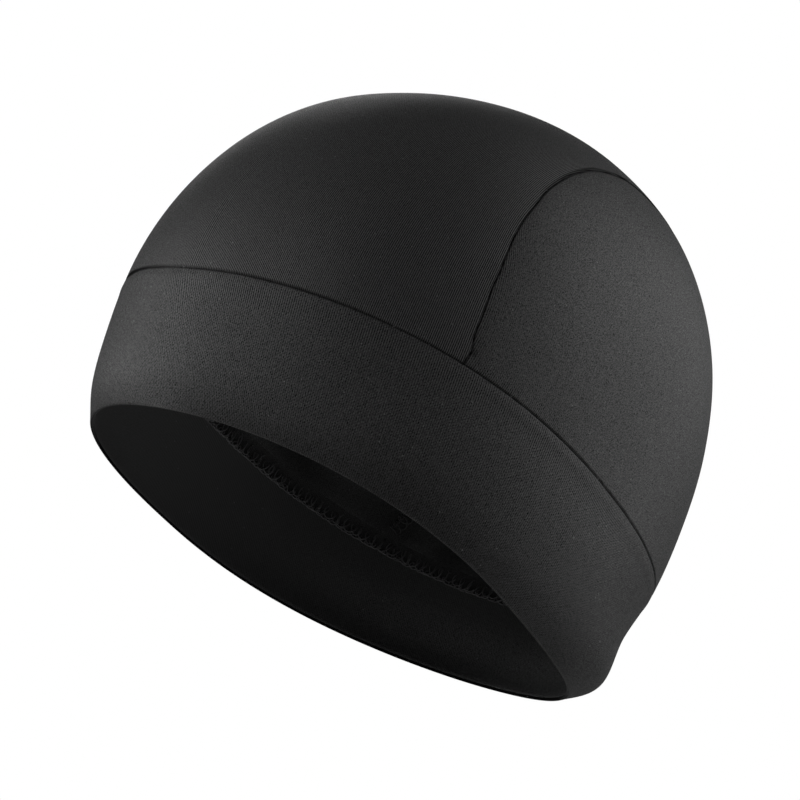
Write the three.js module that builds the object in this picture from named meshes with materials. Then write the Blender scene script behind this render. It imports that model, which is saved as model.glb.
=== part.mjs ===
// A peakless cycling cap of smooth black jersey, the kind worn under a helmet. A brow band, folded double at
// the rim, carries a crown of three panels: one over the middle from brow to nape, and one over each ear.
// Millimetres. +Z is up along the crown, the brow is towards -Y and the wearer's left towards +X. The origin
// is the middle of the head opening, at the height of the rim's front edge.
import * as THREE from "three";
import { mergeVertices } from "three/addons/utils/BufferGeometryUtils.js";

// Cloth
const JERSEY_THICKNESS = 1.5;
const BAND_THICKNESS = 2.4; // two layers
const SEAM_GAP = 0.3; // between pieces that are sewn together
const ALLOWANCE_GAP = 0.5; // between a seam allowance and the cloth that it lies against
const EDGE_ROLL_WIDTH = 3; // a panel's edge turns down into its seam over this width
const EDGE_ROLL_DEPTH = 0.7;

// Crown. Its sections fan out about a line that runs across the head, from ear to ear.
const CROWN_HALF_WIDTH = 78.5;
const FAN_Y = -1.5;
const FAN_Z = 45.5;
const SQUARENESS = { front: 2.24, top: 2.45, back: 2.15 }; // of a section: 2 is an ellipse, more is squarer

// One row per station of the fan. angle: degrees up from straight ahead. reach: from the fan's line to the
// crown's middle. seamReach: from the fan's line to the panel seam, seen from the side.
const FIRST_STATION = -20;
const STATION_STEP = 20;
const STATIONS = [
  { angle: -20, reach: 96, seamReach: 57 },
  { angle: 0, reach: 101.3, seamReach: 57.5 },
  { angle: 20, reach: 104.6, seamReach: 64 },
  { angle: 40, reach: 106.9, seamReach: 75.5 },
  { angle: 60, reach: 107.5, seamReach: 86.5 },
  { angle: 80, reach: 109.5, seamReach: 94.5 },
  { angle: 100, reach: 111.5, seamReach: 97.5 },
  { angle: 120, reach: 109.3, seamReach: 94.5 },
  { angle: 140, reach: 102.8, seamReach: 87 },
  { angle: 160, reach: 96.6, seamReach: 78.5 },
  { angle: 180, reach: 94.2, seamReach: 71 },
  { angle: 200, reach: 93, seamReach: 66 },
];

// Band seam, where the band meets the crown: its height at the brow, over the ears and at the nape
const SEAM_HEIGHT = { front: 36.3, side: FAN_Z, back: 48.3 };

// Rim, the band's folded lower edge. egg swells the oval towards the nape and the temples.
const RIM = { front: 81.8, side: 70.4, back: 93, centreY: -5.7, squareness: 2.1, egg: -1.6 };
const RIM_HEIGHT = { front: -0.3, side: 2.6, back: 12.9 };

// One row per line round the band. up: share of the way from rim to seam. front, side and back: how far the
// cloth stands out from a straight wall there. nape: what it flares further, behind each ear.
const BAND_ROWS = [
  { up: 0, front: 0, side: 0, back: 0, nape: 0 },
  { up: 0.24, front: 2.9, side: 1.4, back: 5, nape: 2.3 },
  { up: 0.6, front: 2, side: 2.1, back: 0.7, nape: 0.6 },
  { up: 1, front: 0, side: 0, back: 0, nape: 0 },
];
const LAST_ROW = BAND_ROWS.length - 1;
const NAPE_AZIMUTH = THREE.MathUtils.degToRad(140);
const NAPE_SPREAD = THREE.MathUtils.degToRad(32);
const SEAM_LEAN = 0.3; // how much of its inward lean the band keeps as it meets the crown

// Mean sizes of the cut pieces, along the cloth
const BAND_WIDTH = 42;
const FIRST_ROW_LENGTH = BAND_WIDTH * BAND_ROWS[1].up;
const LAST_ROW_LENGTH = BAND_WIDTH * (1 - BAND_ROWS[LAST_ROW - 1].up);
const CENTRE_PANEL = { width: 100, length: 300 };
const SIDE_PANEL_LENGTH = 250;

// Seam allowances, inside. endGap: from an arched one's end to the band seam.
const BAND_ALLOWANCE = { height: 7.5, thickness: 1.2 };
const PANEL_ALLOWANCE = { width: 6, thickness: 1.1, endGap: 2 };

// Facets
const AZIMUTH_STEPS = 72;
const BAND_STEPS = 6;
const FOLD_STEPS = 4;
const PANEL_STEPS = 36;
const CENTRE_ACROSS = 12;
const SIDE_UP = 9;
const WIDEST_ROLL = 1 / 3; // of a column, where the side panel tapers off

const SOLVER_STEPS = 16;
const TANGENT_STEP = 0.01; // in rows, and in radians
const MERGE_DISTANCE = 1e-3;

// Look
const JERSEY = { color: 0x2b2b2d, roughness: 0.82, metalness: 0 };
const OVERLOCK = { color: 0x202022, roughness: 0.9, metalness: 0 };

const lerp = THREE.MathUtils.lerp;
const degrees = THREE.MathUtils.radToDeg;

// A smooth value between four evenly spaced ones, t of the way from b to c
function smooth(a, b, c, d, t) {
  const slope = c - a;
  const bend = 2 * a - 5 * b + 4 * c - d;
  const twist = 3 * b - a - 3 * c + d;
  return b + 0.5 * t * (slope + t * (bend + t * twist));
}

function station(column, angle) {
  const place = (degrees(angle) - FIRST_STATION) / STATION_STEP;
  const i = THREE.MathUtils.clamp(Math.floor(place), 1, STATIONS.length - 3);
  const [a, b, c, d] = STATIONS.slice(i - 1, i + 3).map((row) => row[column]);
  return smooth(a, b, c, d, place - i);
}

// A value that goes from its front figure over its side figure to its back figure round the head
function round(sizes, azimuth) {
  const c = Math.cos(azimuth);
  const end = c > 0 ? sizes.front : sizes.back;
  return sizes.side + (end - sizes.side) * c * c;
}

function squareness(angle) {
  return round({ front: SQUARENESS.front, side: SQUARENESS.top, back: SQUARENESS.back }, angle);
}

// A point of the crown, or depth under its outer face. angle: the section. radius: how far the point lies
// from the fan's line, seen from the side.
function crownPoint(angle, radius, depth) {
  const m = squareness(angle);
  const reach = station("reach", angle);
  const x = CROWN_HALF_WIDTH * Math.max(0, 1 - (radius / reach) ** m) ** (1 / m);
  const outward = new THREE.Vector2(
    x ** (m - 1) / CROWN_HALF_WIDTH ** m,
    radius ** (m - 1) / reach ** m,
  ).normalize();
  const out = radius - depth * outward.y;
  return new THREE.Vector3(
    x - depth * outward.x,
    FAN_Y - out * Math.cos(angle),
    FAN_Z + out * Math.sin(angle),
  );
}

// The section and radius of a place seen from the side. Sections run from below the brow to below the nape.
function fanPlace(y, z) {
  const angle = Math.atan2(z - FAN_Z, FAN_Y - y);
  const radius = Math.hypot(z - FAN_Z, FAN_Y - y);
  return { angle: angle < -Math.PI / 2 ? angle + 2 * Math.PI : angle, radius };
}

// How far along Y the crown's middle line reaches where it meets the band seam
function seamEnd(height, behind) {
  let lift = 0;
  for (let i = 0; i < SOLVER_STEPS; i++) {
    const reach = station("reach", behind ? Math.PI - lift : lift);
    lift = Math.asin((height - FAN_Z) / reach);
  }
  return station("reach", behind ? Math.PI - lift : lift) * Math.cos(lift);
}
const SEAM_REACH = {
  front: seamEnd(SEAM_HEIGHT.front, false),
  back: seamEnd(SEAM_HEIGHT.back, true),
};

function seamHeight(y) {
  const end = y < FAN_Y ? "front" : "back";
  const share = (FAN_Y - y) / SEAM_REACH[end];
  return lerp(SEAM_HEIGHT.side, SEAM_HEIGHT[end], share ** 2);
}

// The radius of the middle panel's lines: spread is 0 on its middle line and 1 at its seam
function spreadRadius(angle, spread, gap) {
  const m = squareness(angle);
  const reach = station("reach", angle);
  const edge = Math.acos(((station("seamReach", angle) + gap) / reach) ** (m / 2));
  return reach * Math.cos(spread * edge) ** (2 / m);
}

// The angle at which such a line meets the band seam, at the brow or at the nape
function endAngle(spread, gap, behind) {
  let lift = 0;
  for (let i = 0; i < SOLVER_STEPS; i++) {
    const angle = behind ? Math.PI - lift : lift;
    const radius = spreadRadius(angle, spread, gap);
    const height = seamHeight(FAN_Y - radius * Math.cos(angle)) + SEAM_GAP / 2;
    lift = Math.asin((height - FAN_Z) / radius);
  }
  return behind ? Math.PI - lift : lift;
}

// Shares from 0 to 1 in even steps, with a narrow first and last step for the rolled edges
function rolledShares(steps, edge) {
  const inner = steps - 2;
  const shares = Array.from({ length: inner + 1 }, (_, i) => lerp(edge, 1 - edge, i / inner));
  return [0, ...shares, 1];
}

// Joins triangles into one closed geometry, and leaves out those that a shared corner flattens
function closedGeometry(points, triangles) {
  const soup = new THREE.BufferGeometry().setFromPoints(points);
  soup.setIndex(triangles.flat());
  const merged = mergeVertices(soup, MERGE_DISTANCE);
  const index = merged.index.array;
  const kept = [];
  for (let i = 0; i < index.length; i += 3) {
    const [a, b, c] = index.slice(i, i + 3);
    if (a !== b && b !== c && c !== a) kept.push(a, b, c);
  }
  merged.setIndex(kept);
  merged.computeVertexNormals();
  return merged;
}

// A cloth piece from a grid of pairs of points, one on its outer face and one on its inner face. Seen from
// outside, the places in a row lie to the left of the way from row to row.
function clothGeometry(grid) {
  const rows = grid.length;
  const columns = grid[0].length;
  const points = grid.flat().flat();
  const at = (i, j, face) => (i * columns + j) * 2 + face;
  const triangles = [];
  const quad = (a, b, c, d) => triangles.push([a, b, c], [a, c, d]);
  for (let i = 0; i < rows - 1; i++)
    for (let j = 0; j < columns - 1; j++) {
      quad(at(i, j, 0), at(i + 1, j, 0), at(i + 1, j + 1, 0), at(i, j + 1, 0));
      quad(at(i, j, 1), at(i, j + 1, 1), at(i + 1, j + 1, 1), at(i + 1, j, 1));
    }
  const wall = (i, j, k, l) => quad(at(i, j, 0), at(i, j, 1), at(k, l, 1), at(k, l, 0));
  for (let i = 0; i < rows - 1; i++) {
    wall(i, 0, i + 1, 0);
    wall(i + 1, columns - 1, i, columns - 1);
  }
  for (let j = 0; j < columns - 1; j++) {
    wall(rows - 1, j, rows - 1, j + 1);
    wall(0, j + 1, 0, j);
  }
  return closedGeometry(points, triangles);
}

// A ring from closed sections that stand round the head
function ringGeometry(sections) {
  const around = sections.length;
  const size = sections[0].length;
  const at = (i, j) => (i % around) * size + (j % size);
  const triangles = [];
  for (let i = 0; i < around; i++)
    for (let j = 0; j < size; j++)
      triangles.push(
        [at(i, j), at(i, j + 1), at(i + 1, j + 1)],
        [at(i, j), at(i + 1, j + 1), at(i + 1, j)],
      );
  return closedGeometry(sections.flat(), triangles);
}

function rimPoint(azimuth) {
  const c = Math.cos(azimuth);
  const s = Math.sin(azimuth);
  const egg = RIM.egg * Math.cos(3 * azimuth);
  const power = 2 / RIM.squareness;
  const ahead = Math.sign(c) * Math.abs(c) ** power * ((c > 0 ? RIM.front : RIM.back) + egg);
  const aside = Math.sign(s) * Math.abs(s) ** power * (RIM.side + egg);
  return new THREE.Vector3(aside, RIM.centreY - ahead, round(RIM_HEIGHT, azimuth));
}

function seamPoint(azimuth) {
  const c = Math.cos(azimuth);
  const y = FAN_Y - c * (c > 0 ? SEAM_REACH.front : SEAM_REACH.back);
  const z = seamHeight(y);
  const { angle, radius } = fanPlace(y, z);
  const point = crownPoint(angle, radius, 0);
  point.x *= Math.sign(Math.sin(azimuth));
  return point.setZ(z - SEAM_GAP / 2);
}

// A point of the band's outer face. row: 0 at the rim, LAST_ROW at the seam.
function bandPoint(azimuth, row) {
  const rim = rimPoint(azimuth);
  const seam = seamPoint(azimuth);
  const outward = new THREE.Vector3(seam.x, seam.y - FAN_Y, 0).normalize();
  const fromFront = Math.acos(Math.cos(azimuth));
  const lines = BAND_ROWS.map((line) => {
    const flare = line.nape * Math.exp(-(((fromFront - NAPE_AZIMUTH) / NAPE_SPREAD) ** 2));
    return rim.clone().lerp(seam, line.up).addScaledVector(outward, round(line, azimuth) + flare);
  });
  const below = lines[0].clone().multiplyScalar(2).sub(lines[1]);
  const lean = seam.clone().sub(lines[LAST_ROW - 1]).multiply(new THREE.Vector3(SEAM_LEAN, SEAM_LEAN, 1));
  const all = [below, ...lines, seam.clone().add(lean)];
  const i = THREE.MathUtils.clamp(Math.floor(row), 0, LAST_ROW - 1);
  const [a, b, c, d] = all.slice(i, i + 4);
  const t = row - i;
  return new THREE.Vector3(
    smooth(a.x, b.x, c.x, d.x, t),
    smooth(a.y, b.y, c.y, d.y, t),
    smooth(a.z, b.z, c.z, d.z, t),
  );
}

// The same point with the way out of the cloth and the way up along it
function bandFrame(azimuth, row) {
  const step = TANGENT_STEP;
  const point = bandPoint(azimuth, row);
  const up = bandPoint(azimuth, row + step).sub(bandPoint(azimuth, row - step)).normalize();
  const onward = bandPoint(azimuth + step, row).sub(bandPoint(azimuth - step, row));
  return { point, up, out: onward.cross(up).normalize() };
}

function bandUnder(azimuth, row, depth) {
  const { point, out } = bandFrame(azimuth, row);
  return point.addScaledVector(out, -depth);
}

// The band's section: down its outer face, round the fold at the rim and up its inner face
function bandSection(azimuth) {
  const foldRow = BAND_THICKNESS / 2 / FIRST_ROW_LENGTH;
  const rollRow = LAST_ROW - EDGE_ROLL_WIDTH / LAST_ROW_LENGTH;
  const rows = Array.from({ length: BAND_STEPS }, (_, i) => lerp(rollRow, foldRow, i / (BAND_STEPS - 1)));
  const rolledEdge = bandUnder(azimuth, LAST_ROW, EDGE_ROLL_DEPTH);
  const outer = [rolledEdge, ...rows.map((row) => bandUnder(azimuth, row, 0))];
  const { point, up, out } = bandFrame(azimuth, foldRow);
  const centre = point.addScaledVector(out, -BAND_THICKNESS / 2);
  const fold = Array.from({ length: FOLD_STEPS - 1 }, (_, i) => {
    const turn = (Math.PI * (i + 1)) / FOLD_STEPS;
    return centre
      .clone()
      .addScaledVector(out, (BAND_THICKNESS / 2) * Math.cos(turn))
      .addScaledVector(up, (-BAND_THICKNESS / 2) * Math.sin(turn));
  });
  const inner = [LAST_ROW, ...rows].reverse().map((row) => bandUnder(azimuth, row, BAND_THICKNESS));
  return [...outer, ...fold, ...inner];
}

function aroundHead(section) {
  return Array.from({ length: AZIMUTH_STEPS }, (_, i) => section((2 * Math.PI * i) / AZIMUTH_STEPS));
}

function band() {
  return ringGeometry(aroundHead(bandSection));
}

// The strip of sewn edges that lies on the band's inner face, just under the seam
function bandSeamAllowance() {
  const top = LAST_ROW - SEAM_GAP / LAST_ROW_LENGTH;
  const bottom = top - BAND_ALLOWANCE.height / LAST_ROW_LENGTH;
  const near = BAND_THICKNESS + ALLOWANCE_GAP;
  const far = near + BAND_ALLOWANCE.thickness;
  return ringGeometry(
    aroundHead((azimuth) => [
      bandUnder(azimuth, top, near),
      bandUnder(azimuth, bottom, near),
      bandUnder(azimuth, bottom, far),
      bandUnder(azimuth, top, far),
    ]),
  );
}

function crownCenterPanel() {
  const gap = SEAM_GAP / 2;
  const along = rolledShares(PANEL_STEPS, EDGE_ROLL_WIDTH / CENTRE_PANEL.length);
  const across = rolledShares(CENTRE_ACROSS, EDGE_ROLL_WIDTH / CENTRE_PANEL.width);
  return clothGeometry(
    along.map((alongShare) =>
      across.map((acrossShare) => {
        const side = 1 - 2 * acrossShare; // 1 at the left seam, -1 at the right one
        const spread = Math.abs(side);
        const angle = lerp(endAngle(spread, gap, false), endAngle(spread, gap, true), alongShare);
        const radius = spreadRadius(angle, spread, gap);
        const onEdge = alongShare === 0 || alongShare === 1 || spread === 1;
        return [onEdge ? EDGE_ROLL_DEPTH : 0, JERSEY_THICKNESS].map((depth) => {
          const point = crownPoint(angle, radius, depth);
          return point.setX(point.x * Math.sign(side));
        });
      }),
    ),
  );
}

// A side panel is laid out as seen from the side: its columns run up from the band seam to the arched seam
function sidePanel() {
  const gap = -SEAM_GAP / 2;
  const front = endAngle(1, gap, false);
  const back = endAngle(1, gap, true);
  const archPoint = (share) => {
    const angle = lerp(front, back, share);
    const radius = station("seamReach", angle) + gap;
    return new THREE.Vector2(FAN_Y - radius * Math.cos(angle), FAN_Z + radius * Math.sin(angle));
  };
  const foot = archPoint(0);
  const heel = archPoint(1);
  const columns = rolledShares(PANEL_STEPS, EDGE_ROLL_WIDTH / SIDE_PANEL_LENGTH);
  return clothGeometry(
    columns.map((share) => {
      const high = archPoint(share);
      const y = lerp(foot.x, heel.x, share);
      const low = new THREE.Vector2(y, seamHeight(y) + SEAM_GAP / 2);
      const atCorner = share === 0 || share === 1;
      const edge = Math.min(WIDEST_ROLL, EDGE_ROLL_WIDTH / high.distanceTo(low));
      return rolledShares(SIDE_UP, edge).map((up) => {
        const seen = atCorner ? high : low.clone().lerp(high, up);
        const { angle, radius } = fanPlace(seen.x, seen.y);
        const rolled = atCorner || up === 0 || up === 1 ? EDGE_ROLL_DEPTH : 0;
        return [rolled, JERSEY_THICKNESS].map((depth) => crownPoint(angle, radius, depth));
      });
    }),
  );
}

// The strip of sewn edges along an arched seam, laid over towards the side panel
function panelSeamAllowance() {
  const clear = PANEL_ALLOWANCE.endGap / CENTRE_PANEL.length;
  const front = endAngle(1, 0, false);
  const back = endAngle(1, 0, true);
  const near = JERSEY_THICKNESS + ALLOWANCE_GAP;
  return clothGeometry(
    Array.from({ length: PANEL_STEPS + 1 }, (_, i) => {
      const angle = lerp(front, back, lerp(clear, 1 - clear, i / PANEL_STEPS));
      const seam = station("seamReach", angle);
      return [seam - PANEL_ALLOWANCE.width, seam].map((radius) =>
        [near, near + PANEL_ALLOWANCE.thickness].map((depth) => crownPoint(angle, radius, depth)),
      );
    }),
  );
}

function addPiece(group, name, geometry, look, mirrored = false) {
  const mesh = new THREE.Mesh(geometry, new THREE.MeshStandardMaterial(look));
  mesh.name = name;
  mesh.scale.x = mirrored ? -1 : 1;
  group.add(mesh);
}

const cap = new THREE.Group();
addPiece(cap, "band", band(), JERSEY);
addPiece(cap, "crown_center_panel", crownCenterPanel(), JERSEY);
const earPanel = sidePanel();
addPiece(cap, "side_panel_left", earPanel, JERSEY);
addPiece(cap, "side_panel_right", earPanel, JERSEY, true);
addPiece(cap, "band_seam_allowance", bandSeamAllowance(), OVERLOCK);
const archAllowance = panelSeamAllowance();
addPiece(cap, "panel_seam_allowance_left", archAllowance, OVERLOCK);
addPiece(cap, "panel_seam_allowance_right", archAllowance, OVERLOCK, true);

export default cap;
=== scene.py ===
import math

import bmesh
import bpy
import numpy as np
from bpy.props import FloatProperty, FloatVectorProperty, IntProperty, PointerProperty
from mathutils import Matrix, Vector


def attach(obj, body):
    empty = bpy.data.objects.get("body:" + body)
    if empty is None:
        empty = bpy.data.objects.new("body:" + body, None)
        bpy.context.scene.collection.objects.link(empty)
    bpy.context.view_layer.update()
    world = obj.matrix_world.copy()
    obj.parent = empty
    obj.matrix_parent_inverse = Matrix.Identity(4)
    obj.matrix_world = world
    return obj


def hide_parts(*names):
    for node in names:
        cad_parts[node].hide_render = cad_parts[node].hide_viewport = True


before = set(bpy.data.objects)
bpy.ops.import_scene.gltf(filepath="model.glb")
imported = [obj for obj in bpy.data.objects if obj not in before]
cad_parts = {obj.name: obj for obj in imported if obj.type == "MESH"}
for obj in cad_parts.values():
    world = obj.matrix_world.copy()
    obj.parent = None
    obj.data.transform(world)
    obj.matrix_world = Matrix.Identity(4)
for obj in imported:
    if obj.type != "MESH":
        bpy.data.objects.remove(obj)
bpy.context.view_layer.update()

bl_info = {
    "name": "Cycling cap",
    "version": (1, 0, 0),
    "blender": (4, 5, 0),
    "location": "View3D > Sidebar > Cycling cap",
    "description": "Makes a peakless cycling cap of stretch jersey over its frame",
    "category": "Add Mesh",
}

METRES = 0.001
SIDES = (("left", 1), ("right", -1))

# Cloth
JERSEY_THICKNESS = 1.5
BAND_THICKNESS = 2.4
FOLD_THICKNESS = 1.1
FOLD_TAPER = 34
SEAM_LAP = 0.12

# Crown, in sections that fan out about a line from ear to ear
CROWN_HALF_WIDTH = 78.5
FAN_Y = -1.5
FAN_Z = 45.5
SQUARENESS = (2.24, 2.45, 2.15)
FIRST_STATION = -20
STATION_STEP = 20
CROWN_REACH = np.array([96, 101.3, 104.6, 106.9, 107.5, 109.5, 111.5, 109.3, 102.8, 96.6, 94.2, 93])
ARCH_REACH = np.array([57, 57.5, 64, 75.5, 86.5, 94.5, 97.5, 94.5, 87, 78.5, 71, 66])
SOLVER_STEPS = 24

# Sizes round the head: at the brow, over the ears and at the nape
SEAM_HEIGHT = (36.3, FAN_Z, 48.3)
RIM_REACH = (81.8, 70.4, 93)
RIM_HEIGHT = (-0.3, 2.6, 12.9)
RIM_CENTRE_Y = -5.7
RIM_SQUARENESS = 2.1
RIM_EGG = -1.6

# Lines round the band, from rim to seam: share of the height, swell round the head, swell behind the ears
BAND_SHARES = (0, 0.24, 0.6, 1)
BAND_SWELLS = ((0, 0, 0), (2.9, 1.4, 5), (2, 2.1, 0.7), (0, 0, 0))
NAPE_SWELLS = (0, 2.3, 0.6, 0)
LAST_ROW = 3
NAPE_AZIMUTH = math.radians(140)
NAPE_SPREAD = math.radians(32)
SEAM_LEAN = 0.3
BAND_WIDTH = 42
FIRST_ROW_LENGTH = BAND_WIDTH * BAND_SHARES[1]
LAST_ROW_LENGTH = BAND_WIDTH * (1 - BAND_SHARES[2])
TANGENT_STEP = 0.01


def bell(distance, width):
    """1 at no distance, and next to nothing from two widths on"""
    return np.exp(-((distance / width) ** 2))


def fade(distance, width):
    """1 at no distance, falling ever more slowly"""
    return np.exp(-distance / width)


def ramp(value, start, length):
    """0 up to the start and 1 from a length further on"""
    return np.clip((value - start) / length, 0, 1)


def size_of(vectors):
    return np.linalg.norm(vectors, axis=-1)


def unit(vectors):
    return vectors / size_of(vectors)[..., None]


def smooth(a, b, c, d, t):
    """A smooth value between four evenly spaced ones, t of the way from b to c"""
    slope = c - a
    bend = 2 * a - 5 * b + 4 * c - d
    twist = 3 * b - a - 3 * c + d
    return b + 0.5 * t * (slope + t * (bend + t * twist))


def station(column, angle):
    place = (np.degrees(angle) - FIRST_STATION) / STATION_STEP
    i = np.clip(np.floor(place).astype(int), 1, len(column) - 3)
    return smooth(column[i - 1], column[i], column[i + 1], column[i + 2], place - i)


def around(sizes, azimuth):
    """A size that goes from the brow's over the ears' to the nape's"""
    brow, ears, nape = sizes
    c = np.cos(azimuth)
    return ears + (np.where(c > 0, brow, nape) - ears) * c * c


def section(angle):
    """The power and the reach of the curve that a section of the crown follows"""
    return around(SQUARENESS, angle), station(CROWN_REACH, angle)


def crown_point(angle, radius, depth=0.0):
    """A point of the crown's left half, or depth under its outer face"""
    power, reach = section(angle)
    x = CROWN_HALF_WIDTH * np.maximum(0, 1 - (radius / reach) ** power) ** (1 / power)
    out_x = x ** (power - 1) / CROWN_HALF_WIDTH**power
    out_radius = radius ** (power - 1) / reach**power
    length = np.hypot(out_x, out_radius)
    lower = radius - depth * out_radius / length
    x = x - depth * out_x / length
    return np.stack([x, FAN_Y - lower * np.cos(angle), FAN_Z + lower * np.sin(angle)], -1)


def fan_place(y, z):
    """The section's angle and the radius in it of a place seen from the side"""
    angle = np.arctan2(z - FAN_Z, FAN_Y - y)
    angle = np.where(angle < -math.pi / 2, angle + math.tau, angle)
    return angle, np.hypot(z - FAN_Z, FAN_Y - y)


def seam_end(height, behind):
    """How far along Y the crown's middle line reaches where it meets the band seam"""
    lift = 0.0
    for _ in range(SOLVER_STEPS):
        reach = float(station(CROWN_REACH, np.array(math.pi - lift if behind else lift)))
        lift = math.asin((height - FAN_Z) / reach)
    return reach * math.cos(lift)


BROW_SEAM_Y = seam_end(SEAM_HEIGHT[0], False)
NAPE_SEAM_Y = seam_end(SEAM_HEIGHT[2], True)


def seam_height(y):
    ahead = FAN_Y - y
    share = ahead / np.where(ahead > 0, BROW_SEAM_Y, NAPE_SEAM_Y)
    end = np.where(ahead > 0, SEAM_HEIGHT[0], SEAM_HEIGHT[2])
    return SEAM_HEIGHT[1] + (end - SEAM_HEIGHT[1]) * share**2


def section_turn(angle, radius):
    """How far round its section a place lies from the crown's middle line"""
    power, reach = section(angle)
    return np.arccos(np.minimum((radius / reach) ** (power / 2), 1))


def spread_radius(angle, spread, gap):
    """The radius of a line along the centre panel: spread is 0 at its middle and 1 at its seam"""
    power, reach = section(angle)
    edge = section_turn(angle, arch_reach(angle) + gap)
    return reach * np.cos(spread * edge) ** (2 / power)


def panel_share(angle, radius):
    """The spread at a place of the centre panel, as it is without the small waves of its seam"""
    return section_turn(angle, radius) / section_turn(angle, station(ARCH_REACH, angle))


def end_angle(spread, gap, behind, clear):
    """The angle at which the line of one spread meets the band seam"""
    lift = np.zeros_like(spread, dtype=float)
    for _ in range(SOLVER_STEPS):
        angle = math.pi - lift if behind else lift
        radius = spread_radius(angle, spread, gap)
        height = seam_height(FAN_Y - radius * np.cos(angle)) + clear
        lift = np.arcsin((height - FAN_Z) / radius)
    return math.pi - lift if behind else lift


def seam_point(azimuth, clear):
    """A point of the band seam, or clear above it on the crown"""
    c = np.cos(azimuth)
    y = FAN_Y - c * np.where(c > 0, BROW_SEAM_Y, NAPE_SEAM_Y)
    z = seam_height(y)
    point = crown_point(*fan_place(y, z))
    point[..., 0] *= np.sign(np.sin(azimuth))
    point[..., 2] = z + clear
    return point


def rim_point(azimuth):
    c, s = np.cos(azimuth), np.sin(azimuth)
    egg = RIM_EGG * np.cos(3 * azimuth)
    power = 2 / RIM_SQUARENESS
    brow, ears, nape = RIM_REACH
    ahead = np.sign(c) * np.abs(c) ** power * (np.where(c > 0, brow, nape) + egg)
    aside = np.sign(s) * np.abs(s) ** power * (ears + egg)
    return np.stack([aside, RIM_CENTRE_Y - ahead, around(RIM_HEIGHT, azimuth)], -1)


def band_line(azimuth, row, swell_share=1.0):
    """A line round the band's outer face, from row 0 at the rim to LAST_ROW at the seam.

    swell_share is less than 1 for the inner layer, which swells less.
    """
    rim = rim_point(azimuth)
    seam = seam_point(azimuth, SEAM_LAP)
    outward = seam - [0, FAN_Y, 0]
    outward[..., 2] = 0
    outward = unit(outward)
    behind = bell(np.arccos(np.cos(azimuth)) - NAPE_AZIMUTH, NAPE_SPREAD)
    lines = []
    for share, swell, nape in zip(BAND_SHARES, BAND_SWELLS, NAPE_SWELLS):
        out = around(swell, azimuth) + nape * behind
        lines.append(rim + (seam - rim) * share + outward * out[..., None] * swell_share)
    lean = (seam - lines[LAST_ROW - 1]) * [SEAM_LEAN, SEAM_LEAN, 1]
    lines = [2 * lines[0] - lines[1], *lines, seam + lean]
    i = min(max(math.floor(row), 0), LAST_ROW - 1)
    return smooth(*lines[i : i + 4], row - i)


def band_frame(azimuth, row):
    """Such a line, with the ways up along the cloth and out of it"""
    up = unit(band_line(azimuth, row + TANGENT_STEP) - band_line(azimuth, row - TANGENT_STEP))
    onward = band_line(azimuth + TANGENT_STEP, row) - band_line(azimuth - TANGENT_STEP, row)
    return band_line(azimuth, row), up, unit(np.cross(onward, up))


def arch_angles(gap, clear, shares):
    """Angles along a line beside the left arched seam, between its ends at the band seam"""
    front, back = (end_angle(np.ones(1), gap, behind, clear)[0] for behind in (False, True))
    return front + (back - front) * shares


def arch_seam_line():
    """The arched seam of the left side"""
    angle = arch_angles(0, 0, np.linspace(0, 1, ARCH_SAMPLES))
    return crown_point(angle, arch_reach(angle))


def band_seam_line():
    return seam_point(np.linspace(0, math.tau, SEAM_SAMPLES), 0)


# Softness that sewing gives the cloth

SEAM_SAMPLES = 1600
ARCH_SAMPLES = 900
SEAM_ROLL = 0.45
SEAM_SHOULDER = 2.6
SHOULDER_SPREAD = 0.6
# Painted shade in and beside the seams: its lowest share of light, where it starts, how far it fades, how
# much darker and wider it gets at its strongest, and its strength over the top and on the wearer's right of
# the brow
SEAM_LOW = 0.3
SEAM_DARK = 0.1
SEAM_SOFT = 0.5
SHADE_DEEPENS = 0.8
SHADE_WIDENS = 5
TOP_SEAM_SHADE = 0.45
TOP_SEAM_SHADE_RANGE = (0.7, 0.2)
BROW_SEAM_SHADE_RANGE = (10, 25)
INNER_LEAN = 2.6
INNER_LEAN_WIDTH = 9
TUCK_ANGLE = math.radians(1.2)
TUCK_SPREAD = math.radians(2.3)
TUCK_SHIFT = 0.8
TUCK_SIZE = 0.9

# Waves of the arched seam: how fast they turn against the arch's angle, their start and their share
SEAM_WANDER = 0.2
WANDER_WAVES = ((23, 0.9, 0.5), (37, 2.3, 0.22))

# Puckers beside the seams: length and share of each wave, then depth and start at each seam
PUCKER_WAVES = ((31.0, 0.4), (17.3, 0.35), (9.1, 0.25))
PUCKERS = {"band": (0.1, 1.7), "arch": (0.08, 0.6), "crown": (0.08, 2.2), "side": (0.08, 1.1)}
PUCKER_REACH = 5


def distance_to(points, line):
    """How far each point of a grid lies from a line of points"""
    found = np.empty(points.shape[:-1])
    for i, row in enumerate(points):
        found[i] = np.sqrt(((row[:, None] - line[None]) ** 2).sum(-1)).min(-1)
    return found


def sewn_depth(distance, groove, swell=0):
    """How deep cloth lies near a seam: it swells a little, then rolls down into the seam"""
    turn = np.clip(1 - distance / SEAM_ROLL, 0, 1)
    dip = groove * (1 - np.sqrt(1 - turn**2))
    return dip - swell * bell(distance - SEAM_SHOULDER, SHOULDER_SPREAD * SEAM_SHOULDER)


def inner_depth(to_band):
    """How deep the crown's inner face lies, which leans in over the seam allowance at the band"""
    return JERSEY_THICKNESS + INNER_LEAN * bell(to_band, INNER_LEAN_WIDTH)


def seam_shade(distance, darkening):
    """Painted shade near a seam: the cloth's share of light, which is darker and wider where the darkening is
    strong
    """
    low = SEAM_LOW * (1 - SHADE_DEEPENS * darkening)
    return low + (1 - low) * ramp(distance, SEAM_DARK * (1 + SHADE_WIDENS * darkening), SEAM_SOFT)


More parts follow.
